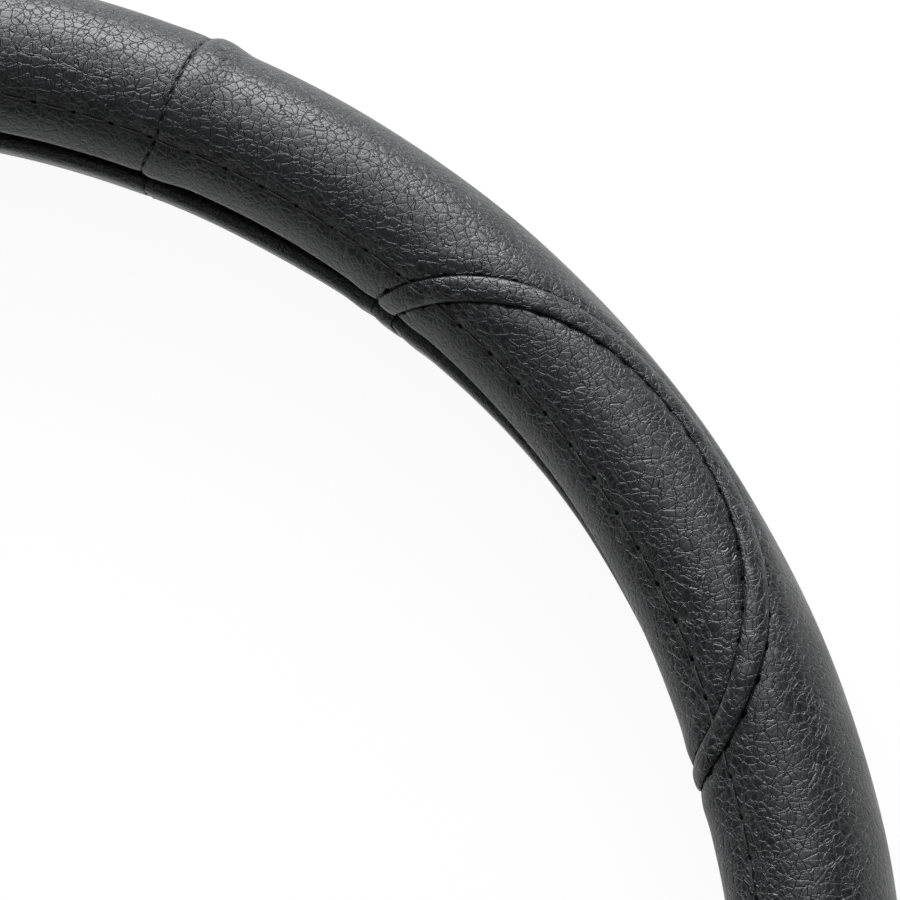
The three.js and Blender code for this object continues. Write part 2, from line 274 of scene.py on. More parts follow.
def drifted(angle, reach, point):
    """The face's section point, moved by the tube's departure from a plain ring."""
    side = np.arctan2(np.sin(angle), np.abs(np.cos(angle)))
    front, rear, outer = (np.interp(side, *curve) for curve in DRIFT_CURVES.values())
    near_front = ease(reach, FRONT_ROW - 4 * MM, FRONT_EDGE - MM)
    near_rear = 1 - ease(reach, REAR_EDGE + MM, REAR_ROW + 4 * MM)
    out = outer * np.clip(point[..., 0] / HALF_WIDTH, 0, 1) - front * near_front - rear * near_rear
    across, up = np.broadcast_arrays(point[..., 0] + out, point[..., 1])
    return np.stack([across, up], axis=-1)


def lay(angle, reach, rise=0.0):
    """Places on the cover, from angles round the ring, reaches along the leather and rises."""
    point, normal = FACE.at(reach)
    point = drifted(angle, reach, point)
    places = on_ring(pulled(angle, reach), point + np.asarray(rise)[..., None] * normal)
    sag = PRESSED * np.clip(-point[..., 1] / HALF_HEIGHT, 0, 1) ** 2
    places[..., 2] = np.maximum(places[..., 2] - sag, 0.0)
    return places


def outward(angle, reach):
    """Directions out of the leather's face at places on the cover."""
    normal = FACE.at(reach)[1]
    return np.stack(
        [normal[..., 0] * np.cos(angle), normal[..., 0] * np.sin(angle), normal[..., 1]], axis=-1
    )


def side_step(angle, reach, along_angle, along_reach, step):
    """The place a step to the side of a path, square to it on the leather."""
    radius = TUBE_RADIUS + FACE.at(reach)[0][..., 0]
    east = along_angle * radius
    length = np.maximum(np.hypot(east, along_reach), 1e-12)
    return angle - step * along_reach / length / radius, reach + step * east / length


class Arch:
    """The line of the piping that frames a grip, from one raw edge over the lip and back."""

    def __init__(self, middle, facing, steps=260):
        fold = FRONT_FOLD if facing > 0 else -REAR_FOLD
        end = math.acos((1 - (fold - ARCH_PEAK) / ARCH_REACH) ** (1 / ARCH_SQUARENESS))
        swing = np.linspace(-end, end, steps)
        height = ARCH_PEAK + ARCH_REACH * (1 - np.cos(swing) ** ARCH_SQUARENESS)
        reach = FACE.reach_of(facing * height)
        angle = middle + GRIP_HALF_SPAN * np.sin(swing)
        to_top = 1 if middle < RIGHT_ANGLE else -1
        leg = to_top * swing / end - ARCH_LEAN_MIDDLE
        angle -= to_top * ARCH_LEAN * bump(leg, ARCH_LEAN_WIDTH)
        raw_edge = FACE.span if facing > 0 else 0.0
        tail = np.linspace(reach[0], raw_edge, 50)[1:]
        self.reach = np.concatenate([tail[::-1], reach, tail])
        self.angle = np.pad(angle, len(tail), mode="edge")
        steps_long = np.linalg.norm(np.diff(lay(self.angle, self.reach), axis=0), axis=1)
        self.length = np.concatenate([[0], np.cumsum(steps_long)])
        self.middle = middle
        self.head_angle = np.gradient(self.angle)
        self.head_reach = np.gradient(self.reach)
        self.radius = TUBE_RADIUS + FACE.at(self.reach)[0][:, 0]
        tangent = np.stack([self.head_angle * self.radius, self.head_reach], axis=-1)
        self.tangent = tangent / np.linalg.norm(tangent, axis=1, keepdims=True)
        self.side = facing * np.stack([self.tangent[:, 1], -self.tangent[:, 0]], axis=-1)

    def sample(self, spacing):
        """The arch's places at an even spacing: angle, reach, heading and length."""
        count = int(self.length[-1] / spacing)
        length = np.linspace(0, self.length[-1], count + 1)
        tracks = (self.angle, self.reach, self.head_angle, self.head_reach)
        return (*(np.interp(length, self.length, track) for track in tracks), length)

    def measure(self, angle, reach, margin=0.25, batch=4000):
        """For places on the cover, their length along the arch and their distance outside it."""
        length = np.full(len(angle), -1.0)
        distance = np.full(len(angle), 1.0)
        near = np.flatnonzero(np.abs(angle - self.middle) < GRIP_HALF_SPAN + margin)
        for start in range(0, len(near), batch):
            part = near[start : start + batch]
            east = (angle[part, None] - self.angle[None, :]) * self.radius[None, :]
            north = reach[part, None] - self.reach[None, :]
            closest = np.argmin(east**2 + north**2, axis=1)
            rows = np.arange(len(part))
            offset = np.stack([east[rows, closest], north[rows, closest]], axis=-1)
            length[part] = self.length[closest] + np.sum(offset * self.tangent[closest], axis=1)
            far = np.linalg.norm(offset, axis=1)
            aside = np.sum(offset * self.side[closest], axis=1)
            distance[part] = np.where(aside < 0, -far, far)
        return length, distance


ARCHES = {name: Arch(*grip) for name, grip in GRIPS.items()}


# How the leather swells, sinks and puckers


def ripple(position, seed, wavelengths):
    """A smooth uneven wave between about -1 and 1, the same on every run."""
    rng = np.random.default_rng(seed)
    total = np.zeros_like(position)
    for wavelength in wavelengths:
        phase = rng.uniform(0, 2 * math.pi, 2)
        total += np.sin(2 * math.pi * position / wavelength + phase[0]) * (
            0.6 + 0.4 * np.sin(2 * math.pi * position / (2.7 * wavelength) + phase[1])
        )
    return total / len(wavelengths)


def softness(angle, reach, height=0.16 * MM):
    """The slight unevenness of a soft tube all round."""
    around = angle * TUBE_RADIUS
    wave = ripple(around + 0.6 * reach, 3, (0.071, 0.043))
    return height * (wave + ripple(reach - 0.2 * around, 5, (0.037,)))


# The leather beside a row of hem stitches, in millimetres: how far towards the lip, how wide,
# how high, how much higher at a hole, and the power that sharpens it there.
HEM_WAVES = (
    (0.0, 0.8, -0.05, -0.22, 4),
    (0.0, 2.2, -0.06, -0.14, 1),
    (4.4, 2.8, 0.14, 0.0, 1),
    (-3.4, 2.4, 0.1, 0.0, 1),
)


def hem_relief(angle, reach):
    """The groove along each row of hem stitches and the soft rolls beside it."""
    rise = np.zeros_like(reach)
    hole = at_holes(angle * FRONT_ROW_RADIUS, HEM_PITCH)
    for row, to_lip in ((FRONT_ROW, 1), (REAR_ROW, -1)):
        for aside, width, height, hole_height, power in HEM_WAVES:
            across = (reach - row) * to_lip - aside * MM
            rise += (height + hole_height * hole**power) * MM * bump(across, width * MM)
    return rise


# Beside a cross seam the leather dives into it, and on a side panel it first swells and puckers.
SEAM_SWELL = 0.5 * MM
SEAM_SWELL_OUTSIDE = 0.35 * MM  # how much more on the tube's outer side
OUTSIDE_WIDTH = 22 * MM
SEAM_SWELL_ELSEWHERE = 0.12  # the share of the swell on the top and bottom panels
SEAM_PUCKER = 0.14 * MM


def seam_relief(angle, reach, seam, towards):
    """The leather beside a cross seam: how far it swells, puckers and dives."""
    radius = TUBE_RADIUS + FACE.at(reach)[0][..., 0]
    away = (angle - seam) * towards * radius
    pucker = ripple(reach, 11, (0.0052, 0.0088)) * bump(away - 1.8 * MM, 3.0 * MM)
    height = SEAM_SWELL + SEAM_SWELL_OUTSIDE * bump(reach - FACE.reach_of(0.0), OUTSIDE_WIDTH)
    height = height * ease(reach, REAR_ROW, REAR_ROW + 12 * MM)
    swell = height * ease(away, -0.9 * MM, 2.0 * MM) * (1 - ease(away, 2.8 * MM, 8.5 * MM))
    dive = (0.06 + 0.26 * at_holes(reach, SEAM_PITCH) ** 2) * MM * bump(away, 0.45 * MM)
    return swell, SEAM_PUCKER * pucker, dive


def arch_relief(length, distance):
    """Beside the piping the leather has a soft roll, a dip at each stitch, and dives under it."""
    away = distance - PIPING_WIDTH / 2
    roll = 0.22 * MM * bump(away - 3.0 * MM, 2.2 * MM)
    dip = (0.05 + 0.2 * at_holes(length, ARCH_PITCH) ** 2) * MM * bump(away, 1.2 * MM)
    dive = 0.75 * MM * (1 - ease(away, -0.85 * MM, 0.15 * MM))
    return roll - dip - dive


def panel_relief(angle, reach, arches, span, is_side):
    """The rise of a panel's leather over the plain tube."""
    rise = softness(angle, reach) + hem_relief(angle, reach)
    for seam, towards in ((span[0], 1), (span[1], -1)):
        swell, pucker, dive = seam_relief(angle, reach, seam, towards)
        share = 1.0 if is_side else SEAM_SWELL_ELSEWHERE
        rise += share * swell + pucker - dive
    for length, distance in arches:
        rise += arch_relief(length, distance)
    return rise


def grip_relief(angle, reach, arches):
    """The rise of a grip's leather over the plain tube."""
    length, distance = arches[0]
    return softness(angle, reach) + hem_relief(angle, reach) + arch_relief(length, -distance)


# The piping's shape, mostly as shares of its width and rise.
PIPING_SLIM = 0.05  # how much slimmer it is than the solids' all along
PIPING_SLIM_AT_LIP = 0.1
PIPING_LOW_AT_LIP = 0.4
PIPING_LOW_AT_HEM = 0.45
PIPING_BEAT = 0.07  # higher at each stitch, and as much lower between two
PIPING_REAR_RISE = 0.65
PIPING_UNDERSIDE = 0.55 * MM  # how deep it sits in the leather


def piping_size(length, reach, facing, crown):
    """Half the piping's width, and its rise, less round the lip and under the hem's stitch."""
    row, edge = (FRONT_ROW, FRONT_EDGE) if facing > 0 else (REAR_ROW, REAR_EDGE)
    at_hem = bump(reach - row, 1.6 * MM)
    at_lip = bump(reach - edge, 4.0 * MM)
    crown = crown if facing > 0 else PIPING_REAR_RISE * crown
    beat = 1 + PIPING_BEAT * (2 * at_holes(length, ARCH_PITCH) - 1)
    half = PIPING_WIDTH / 2 * (1 - PIPING_SLIM - PIPING_SLIM_AT_LIP * at_lip)
    return half, crown * beat * (1 - PIPING_LOW_AT_LIP * at_lip - PIPING_LOW_AT_HEM * at_hem)


def piping_profile(length, reach, facing, crown, sides=24):
    """The piping's section: steps aside and rises over the leather."""
    around = np.linspace(0, 2 * math.pi, sides + 1)[:-1]
    half, top = piping_size(length, reach, facing, crown)
    rise = np.where(np.sin(around) > 0, top, PIPING_UNDERSIDE) * np.sign(np.sin(around))
    return half * np.cos(around), rise * np.abs(np.sin(around)) ** 0.9


# Pieces


def spread(count, weight, low, high):
    """Steps from low to high that lie closer together where the weight is larger."""
    fine = np.linspace(low, high, 4000)
    total = np.concatenate([[0], np.cumsum(weight((fine[1:] + fine[:-1]) / 2))])
    return np.interp(np.linspace(0, total[-1], count + 1), total, fine)


def row_weight(reach):
    """Rows lie closest along the stitches and round the folds, and wide apart inside the hems."""
    weight = np.full_like(reach, 0.75)
    for row, edge in ((FRONT_ROW, FRONT_EDGE), (REAR_ROW, REAR_EDGE)):
        weight += 1.5 * bump(reach - row, 2.2 * MM) + 0.8 * bump(reach - edge, 4.5 * MM)
    weight[(reach < REAR_EDGE - 7 * MM) | (reach > FRONT_EDGE + 7 * MM)] = 0.3
    return weight


def column_weight(angle, start, end):
    """Columns lie closest beside the cross seams."""
    from_start = bump((angle - start) * TUBE_RADIUS, 6 * MM)
    from_end = bump((angle - end) * TUBE_RADIUS, 6 * MM)
    return 0.8 + 1.2 * from_start + 1.2 * from_end


def flat_grid(angles, reaches):
    """A flat grid whose corners hold an angle and a reach."""
    bm = bmesh.new()
    columns, rows = len(angles) - 1, len(reaches) - 1
    bmesh.ops.create_grid(bm, x_segments=columns, y_segments=rows, size=1.0)
    for vert in bm.verts:
        column = round((vert.co.x + 1) / 2 * columns)
        row = round((vert.co.y + 1) / 2 * rows)
        vert.co = (angles[column], reaches[row], 0)
    return bm


def corners(bm):
    """The angles and reaches that a flat grid's corners hold."""
    flat = np.array([vert.co[:2] for vert in bm.verts])
    return flat[:, 0], flat[:, 1]


def measured(angle, reach, names):
    """Lengths along and distances outside each named arch, for places on the cover."""
    return [ARCHES[name].measure(angle, reach) for name in names]


def new_object(bm, name, material):
    """Puts a bmesh into the scene as an object of one material."""
    mesh = bpy.data.meshes.new(name)
    bm.to_mesh(mesh)
    bm.free()
    mesh.materials.append(material)
    made = bpy.data.objects.new(name, mesh)
    bpy.context.scene.collection.objects.link(made)
    return made


def finish_piece(bm, name, node, material, wall=0.0):
    """Turns a bmesh into a finished piece that stands for a node and rides on the cover."""
    piece = new_object(bm, name, material)
    piece.data.shade_smooth()
    if wall:
        solidify = piece.modifiers.new("wall", "SOLIDIFY")
        solidify.thickness = wall
        solidify.offset = -1
        solidify.use_even_offset = False
    if node:
        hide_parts(node)
    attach(piece, "root")
    return piece


def write_maps(bm, angle, reach, arches, span):
    """Maps in millimetres, which the leather's material reads: along and beside the nearest cross
    seam, round the ring and along the leather, and along and beside the nearest arch."""
    seam_map = bm.loops.layers.uv.new("seam")
    hem_map = bm.loops.layers.uv.new("leather")
    arch_map = bm.loops.layers.uv.new("arch")
    radius = TUBE_RADIUS + FACE.at(reach)[0][..., 0]
    beside = np.minimum(np.abs(angle - span[0]), np.abs(angle - span[1])) * radius / MM
    along = angle * FRONT_ROW_RADIUS / MM
    across = reach / MM
    length = np.full(len(angle), -100.0)
    distance = np.full(len(angle), 100.0)
    for one_length, one_distance in arches:
        closer = np.abs(one_distance) < np.abs(distance) * MM
        length[closer] = one_length[closer] / MM
        distance[closer] = one_distance[closer] / MM
    for face in bm.faces:
        for loop in face.loops:
            i = loop.vert.index
            loop[hem_map].uv = (along[i], across[i])
            loop[arch_map].uv = (length[i], distance[i])
            loop[seam_map].uv = (across[i], beside[i])


FINE_BESIDE_ARCH = 5.0 * MM
LEATHER_EDGE = 1.2 * MM  # how far from the piping's middle line the leather under it ends
NO_SEAMS = (-9, 9)  # angles beyond every piece, for the grips, which have no cross seam


def leather_piece(name, angles, reaches, arch_names, is_inside, relief, material):
    """A sheet of leather laid on the cover, finest beside the piping and cut away beyond it."""
    bm = flat_grid(angles, reaches)
    if arch_names:
        bm.verts.index_update()
        gaps = np.min([np.abs(gap) for _, gap in measured(*corners(bm), arch_names)], axis=0)
        fine = [e for e in bm.edges if min(gaps[v.index] for v in e.verts) < FINE_BESIDE_ARCH]
        bmesh.ops.subdivide_edges(bm, edges=fine, cuts=1, use_grid_fill=True)
        bm.verts.index_update()
        sign = -1 if is_inside else 1
        inset = np.min([sign * gap for _, gap in measured(*corners(bm), arch_names)], axis=0)
        cut = [f for f in bm.faces if max(inset[v.index] for v in f.verts) < LEATHER_EDGE]
        bmesh.ops.delete(bm, geom=cut, context="FACES")
    bm.verts.index_update()
    angle, reach = corners(bm)
    arches = measured(angle, reach, arch_names)
    places = lay(angle, reach, relief(angle, reach, arches))
    write_maps(bm, angle, reach, arches, NO_SEAMS if is_inside else (angles[0], angles[-1]))
    for vert, place in zip(bm.verts, places):
        vert.co = place
    return finish_piece(bm, name + "_leather", name, material, wall=SKIN)


def outer_skin():
    """The outer faces of the leather and piping made so far, to lay stitches on."""
    places, faces = [], []
    for piece in bpy.context.scene.objects:
        if piece.name.endswith(("_leather", "_padded")):
            start = len(places)
            places.extend(vert.co.copy() for vert in piece.data.vertices)
            faces.extend([start + i for i in face.vertices] for face in piece.data.polygons)
    return BVHTree.FromPolygons(places, faces)


def on_skin(skin, angle, reach, above=4 * MM, below=5 * MM):
    """Where the outer face lies at a place on the cover, and the way out of it."""
    way = Vector(outward(angle, reach))
    start = Vector(lay(angle, reach, above))
    place = skin.ray_cast(start, -way, above + below)[0]
    return place or start - above * way, way


def hole_shade_plugs(name, holes, proud=0.05 * MM):
    """Painted shade for needle holes: short dark plugs that end just proud of the leather. Each
    hole has a place, the way out of the leather, the way along the row, and half its length and
    width."""
    bm = bmesh.new()
    for place, way, along, long, wide in holes:
        along = (along - along.dot(way) * way).normalized()
        turn = Matrix((along * long, way.cross(along) * wide, way)).transposed().to_4x4()
        bmesh.ops.create_cone(
            bm, cap_ends=True, segments=8, radius1=0.8, radius2=1.0, depth=PLUG_DEPTH,
            matrix=Matrix.Translation(place + way * (proud - PLUG_DEPTH / 2)) @ turn,
        )
    for vert in bm.verts:
        vert.co.z = max(vert.co.z, 0.0)
    return finish_piece(bm, name, None, finishes()["needle_hole_shade"])


def tube(name, rings, node, material, slot, closed=False):
    """A tube through rings of places, above the floor. Its ends are filled, or meet if closed."""
    bm = bmesh.new()
    around = len(rings[0])
    along = len(rings) if closed else len(rings) - 1
    bmesh.ops.create_grid(bm, x_segments=along, y_segments=around, size=1.0)
    for vert in bm.verts:
        column = round((vert.co.x + 1) / 2 * along) % len(rings)
        row = round((vert.co.y + 1) / 2 * around) % around
        vert.co = rings[column][row]
        vert.co.z = max(vert.co.z, 0.0)
    bmesh.ops.remove_doubles(bm, verts=bm.verts[:], dist=1e-7)
    open_edges = [e for e in bm.edges if e.is_boundary]
    if open_edges:
        bmesh.ops.holes_fill(bm, edges=open_edges, sides=0)
    bmesh.ops.recalc_face_normals(bm, faces=bm.faces[:])
    return finish_piece(bm, name, node, material)


def swept(path, profile_at):
    """Rings of places along a path on the leather. The profile gives steps aside and rises."""
    rings = []
    for angle, reach, head_angle, head_reach, length in zip(*path):
        aside, rise = profile_at(length, reach)
        rings.append(lay(*side_step(angle, reach, head_angle, head_reach, aside), rise))
    return rings


# Thread, and the painted shade of needle holes

HEM_STEPS = 8  # steps from hole to hole
ARCH_STEPS = 4
SEAM_RINGS = 420
HEM_DIP = 0.8 * MM  # how deep the thread goes at a hole
SEAM_DIP = 0.7 * MM

# Half the length and width of a needle hole in a hem and beside a cross seam. Beside the piping
# there are two rows of them: how far outside its middle line, and half the length and width.
HEM_HOLE = (0.46 * MM, 0.36 * MM)
SEAM_HOLE = (0.34 * MM, 0.2 * MM)
PIPING_HOLES = ((2.5 * MM, 0.5 * MM, 0.38 * MM), (-2.5 * MM, 0.85 * MM, 0.5 * MM))
JUST_ASIDE = 1e-5  # an angle that lets a ray meet one panel, and not the slit between two


def ring_of(radius, sides=6):
    """A thread's section: steps aside and rises."""
    around = np.linspace(0, 2 * math.pi, sides + 1)[:-1]
    return radius * np.cos(around), radius * np.sin(around)


def sew_hem(name, row, radius, skin):
    """The thread all round a hem, and the painted shade of its needle holes where the piping
    leaves room.
    """
    angles = np.linspace(0, 2 * math.pi, HEM_STITCHES * HEM_STEPS + 1)[:-1]
    dips = at_holes(angles * FRONT_ROW_RADIUS, HEM_PITCH)
    gaps = [np.abs(gap) for _, gap in measured(angles, np.full_like(angles, row), GRIPS)]
    clear = np.min(gaps, axis=0) > PIPING_WIDTH / 2 + 0.5 * MM
    steps_aside, lifts = ring_of(radius)
    rings, holes = [], []
    for step, (angle, dip) in enumerate(zip(angles, dips)):
        place, way = on_skin(skin, angle, row)
        side = Vector((math.cos(angle), math.sin(angle), 0))
        side = (side - side.dot(way) * way).normalized()
        middle = place + way * float(0.05 * MM - HEM_DIP * dip**6)
        rings.append(
            [middle + side * float(x) + way * float(y) for x, y in zip(steps_aside, lifts)]
        )
        if step % HEM_STEPS == 0 and clear[step]:
            holes.append((place, way, side.cross(way), *HEM_HOLE))
    tube(name + "_hem_thread", rings, None, finishes()["black_thread"], None, closed=True)
    hole_shade_plugs(name + "_hem_hole_shade", holes)


def sew_piping(name, facing, skin):
    """The painted shade of the needle holes on both sides of a length of piping."""
    path = ARCHES[name].sample(ARCH_PITCH / ARCH_STEPS)[:4]
    holes = []
    for offset, *size in PIPING_HOLES:
        sides = side_step(*path, facing * offset)
        places = [on_skin(skin, angle, reach) for angle, reach in zip(*sides)]
        for i in range(ARCH_STEPS, len(places) - ARCH_STEPS, ARCH_STEPS):
            along = places[i + 1][0] - places[i - 1][0]
            holes.append((*places[i], along, *size))
    hole_shade_plugs(name + "_piping_hole_shade", holes)


def sew_seam(name, seam, radius, skin):
    """The thread along a cross seam, which sinks in at the rear lip, and the painted shade of its
    needle holes.
    """
    reaches = np.linspace(REAR_EDGE + 1.5 * MM, FRONT_EDGE - 0.5 * MM, SEAM_RINGS)
    rises = softness(seam, reaches) + hem_relief(seam, reaches)
    rises -= 0.02 * MM + SEAM_DIP * at_holes(reaches, SEAM_PITCH) ** 2
    rises -= 0.5 * MM * (1 - ease(reaches, REAR_EDGE, REAR_EDGE + 6 * MM))
    steps_aside, lifts = ring_of(radius)
    rings = []
    for reach, rise in zip(reaches, rises):
        radius_here = TUBE_RADIUS + FACE.at(reach)[0][0]
        rings.append(lay(seam + steps_aside / radius_here, reach, rise + lifts))
    tube(name + "_seam_thread", rings, None, finishes()["black_thread"], None)
    holes = []
    for reach in np.arange(reaches[0] + SEAM_PITCH, reaches[-1] - SEAM_PITCH, SEAM_PITCH):
        place, way = on_skin(skin, seam + JUST_ASIDE, reach)
        along = Vector(lay(seam, reach + MM)) - Vector(lay(seam, reach - MM))
        holes.append((place, way, along, *SEAM_HOLE))
    hole_shade_plugs(name + "_seam_hole_shade", holes)


# Materials


def feed(tree, node, inputs):
    """Sets a node's inputs to values, or links them to sockets."""
    for key, value in inputs.items():
        if isinstance(value, bpy.types.NodeSocket):
            tree.links.new(value, node.inputs[key])
        else:
            node.inputs[key].default_value = value


def add_node(tree, kind, inputs=None, **settings):
    """A node with its settings and inputs."""
    node = tree.nodes.new(kind)
    for key, value in settings.items():
        setattr(node, key, value)
    feed(tree, node, inputs or {})
    return node


def calc(tree, operation, *values):
    """One step of arithmetic on sockets and numbers."""
    inputs = dict(enumerate(values))
    return add_node(tree, "ShaderNodeMath", inputs, operation=operation).outputs[0]


def calc_place(tree, operation, first, second):
    """One step of arithmetic on two places."""
    inputs = {0: first, 1: second}
    return add_node(tree, "ShaderNodeVectorMath", inputs, operation=operation).outputs[0]


def fade(tree, value, low, high, start=0.0, end=1.0):
    """A soft step from start to end as the value goes from low to high."""
    inputs = {"Value": value, "From Min": low, "From Max": high, "To Min": start, "To Max": end}
    node = add_node(tree, "ShaderNodeMapRange", inputs, interpolation_type="SMOOTHSTEP")
    return node.outputs["Result"]


def noise(tree, place, scale, detail, output="Fac"):
    """A smooth noise with about so many waves to the metre."""
    inputs = {"Vector": place, "Scale": scale, "Detail": detail}
    return add_node(tree, "ShaderNodeTexNoise", inputs).outputs[output]


def blend(tree, mask, low, high):
    """A colour that goes from low to high with the mask. Either end can be a socket."""
    low, high = (
        end if isinstance(end, bpy.types.NodeSocket) else (*end, 1) for end in (low, high)
    )
    node = add_node(tree, "ShaderNodeMix", {"Factor": mask, 6: low, 7: high}, data_type="RGBA")
    return node.outputs[2]


def object_place(tree):
    """Places on the piece, in metres."""
    return add_node(tree, "ShaderNodeTexCoord").outputs["Object"]


def emboss(tree, shader, height, distance, strength=1.0):
    """Bumps the shader's face by a height times a distance."""
    inputs = {"Strength": strength, "Distance": distance, "Height": height}
    feed(tree, shader, {"Normal": add_node(tree, "ShaderNodeBump", inputs).outputs["Normal"]})


def new_group(name, inputs, outputs):
    """A node group of numbers, with the default of each input, and its two end nodes. An input
    without a default takes a place."""
    group = bpy.data.node_groups.new(name, "ShaderNodeTree")
    for socket, value in inputs.items():
        kind = "NodeSocketVector" if value is None else "NodeSocketFloat"
        made = group.interface.new_socket(socket, in_out="INPUT", socket_type=kind)
        if value is not None:
            made.default_value = value
    for socket in outputs:
        group.interface.new_socket(socket, in_out="OUTPUT", socket_type="NodeSocketFloat")
    return group, group.nodes.new("NodeGroupInput").outputs, group.nodes.new("NodeGroupOutput")


def highest(tree, values):
    """The highest of several masks."""
    top = values[0]
    for value in values[1:]:
        top = calc(tree, "MAXIMUM", top, value)
    return top


# Each net of cracks: its share of the cell size, the crack's half width and depth in
# millimetres, and how much of it there is where the leather is finer and where it is coarser.
GRAIN_NETS = (
    (1.0, 0.095, 0.135, 0.8, 1.0),
    (0.8, 0.08, 0.06, 1.0, 0.3),
    (1.9, 0.1, 0.05, 0.3, 1.0),
)
GRAIN_RIM_HIGHLIGHT = 0.22  # how far from a crack its pale rim, a painted highlight, ends, in millimetres
GRAIN_ROUNDING = 0.4  # how far from a crack the cell's top begins, in millimetres
GRAIN_WARP = 1.2 * MM
PORE_DEPTH = 0.012


def grain_group():
    """Pebbled leather: crossing nets of narrow cracks, rounded cells between, and fine pores, with
    a mask for the painted highlight on the cracks' rims.
    """
    group, given, result = new_group(
        "pebbled_grain",
        {"Place": None, "Cell Size": 1.75, "Depth": 1.0},
        ("Height", "Crack", "Rim Highlight", "Cloud"),
    )
    place = given["Place"]
    drift = calc_place(group, "SUBTRACT", noise(group, place, 260, 2, "Color"), (0.5,) * 3)
    push = calc_place(group, "MULTIPLY", drift, (GRAIN_WARP,) * 3)
    moved = calc_place(group, "ADD", place, push)
    patch = noise(group, place, 210, 1)
    height = calc(group, "MULTIPLY", noise(group, place, 2600, 2), PORE_DEPTH)
    cracks, rim_highlights = [], []
    for share, half_width, depth, in_fine, in_coarse in GRAIN_NETS:
        pitch = calc(group, "MULTIPLY", given["Cell Size"], share)
        cells = add_node(
            group, "ShaderNodeTexVoronoi", feature="DISTANCE_TO_EDGE",
            inputs={"Vector": moved, "Scale": calc(group, "DIVIDE", 1 / MM, pitch)},
        )
        away = calc(group, "MULTIPLY", cells.outputs["Distance"], pitch)
        amount = fade(group, patch, 0.35, 0.65, in_fine, in_coarse)
        crack = calc(group, "MULTIPLY", fade(group, away, 0.0, half_width, 1.0, 0.0), amount)
        # Mask for the painted highlight on the rim beside a crack
        rim_highlight = calc(group, "MULTIPLY", fade(group, away, half_width, GRAIN_RIM_HIGHLIGHT, 1.0, 0.0), amount)
        dome = fade(group, away, 0.0, GRAIN_ROUNDING)
        height = calc(group, "MULTIPLY_ADD", crack, -depth, height)
        height = calc(group, "MULTIPLY_ADD", dome, 0.2 * depth, height)
        cracks.append(crack)
        rim_highlights.append(rim_highlight)
    feed(group, result, {
        "Height": calc(group, "MULTIPLY", height, given["Depth"]),
        "Crack": highest(group, cracks),
        "Rim Highlight": highest(group, rim_highlights),
        "Cloud": noise(group, place, 70, 3),
    })
    return group


def stitch_group():
    """Needle holes along a row of stitches, and the fine line through them, in millimetres."""
    group, given, result = new_group(
        "needle_holes",
        {"Along": 0, "Across": 0, "Pitch": 7.1, "Length": 0.75, "Width": 0.42, "Groove": 0.2},
        ("Hole", "Line", "Groove"),
    )
    turns = calc(group, "DIVIDE", given["Along"], given["Pitch"])
    offset = calc(group, "SUBTRACT", turns, calc(group, "ROUND", turns))
    offset = calc(group, "MULTIPLY", offset, given["Pitch"])
    along = calc(group, "DIVIDE", offset, given["Length"])
    across = calc(group, "DIVIDE", given["Across"], given["Width"])
    square = calc(group, "MULTIPLY_ADD", along, along, calc(group, "MULTIPLY", across, across))
    hole = fade(group, calc(group, "SQRT", square), 0.45, 1.15, 1.0, 0.0)
    line = fade(group, calc(group, "ABSOLUTE", given["Across"]), 0.18, 0.5, 1.0, 0.0)
    groove = calc(group, "MULTIPLY", line, given["Groove"])
    feed(group, result, {"Hole": hole, "Line": line, "Groove": groove})
    return group


def new_material(name):
    """A material, its node tree and its shader."""
    material = bpy.data.materials.new(name)
    material.use_nodes = True
    tree = material.node_tree
    shader = next(n for n in tree.nodes if n.type == "BSDF_PRINCIPLED")
    return material, tree, shader


# Each row of stitches in the panels' leather: its map and where it runs on it, how much the map
# is stretched across, then the pitch, a hole's length and width, and the groove's depth. All
# lengths are in millimetres.
STITCH_ROWS = (
    ("leather", FRONT_ROW / MM, 1.0, HEM_PITCH / MM, 0.7, 0.42, 0.14),
    ("leather", REAR_ROW / MM, 1.0, HEM_PITCH / MM, 0.7, 0.42, 0.14),
    ("arch", PIPING_WIDTH / 2 / MM, 2.0, ARCH_PITCH / MM, 0.6, 0.9, 0.1),
    ("seam", 0.0, 3.0, SEAM_PITCH / MM, 0.5, 0.6, 0.1),
)
HOLE_SINK = 0.3  # how much deeper than its groove a hole is, in millimetres
# Painted shade on the line along a stitch row, as a share of that in a hole
SEWN_LINE_PAINTED_SHADE = 0.8
RIM_PAINTED_HIGHLIGHT = 0.5  # how strongly the painted highlight on the cracks' rims and the painted shade in the cracks are laid on
CRACK_PAINTED_SHADE_STRENGTH = 0.8
# Painted shade in the needle holes and along the stitch rows
SEWN_PAINTED_SHADE = (0.002, 0.002, 0.002)
# Painted shade in the grain's cracks
CRACK_PAINTED_SHADE = (0.003, 0.003, 0.003)
# Painted shade inside the needle holes, as dark plugs
HOLE_PAINTED_SHADE = (0.0015, 0.0015, 0.0015)
THREAD_TWIST_PAINTED_SHADE = (0.004, 0.004, 0.004)
RUBBER_SHADE = (0.007, 0.007, 0.007)
SPECULAR_TINT = (0.95, 0.965, 1.0, 1)


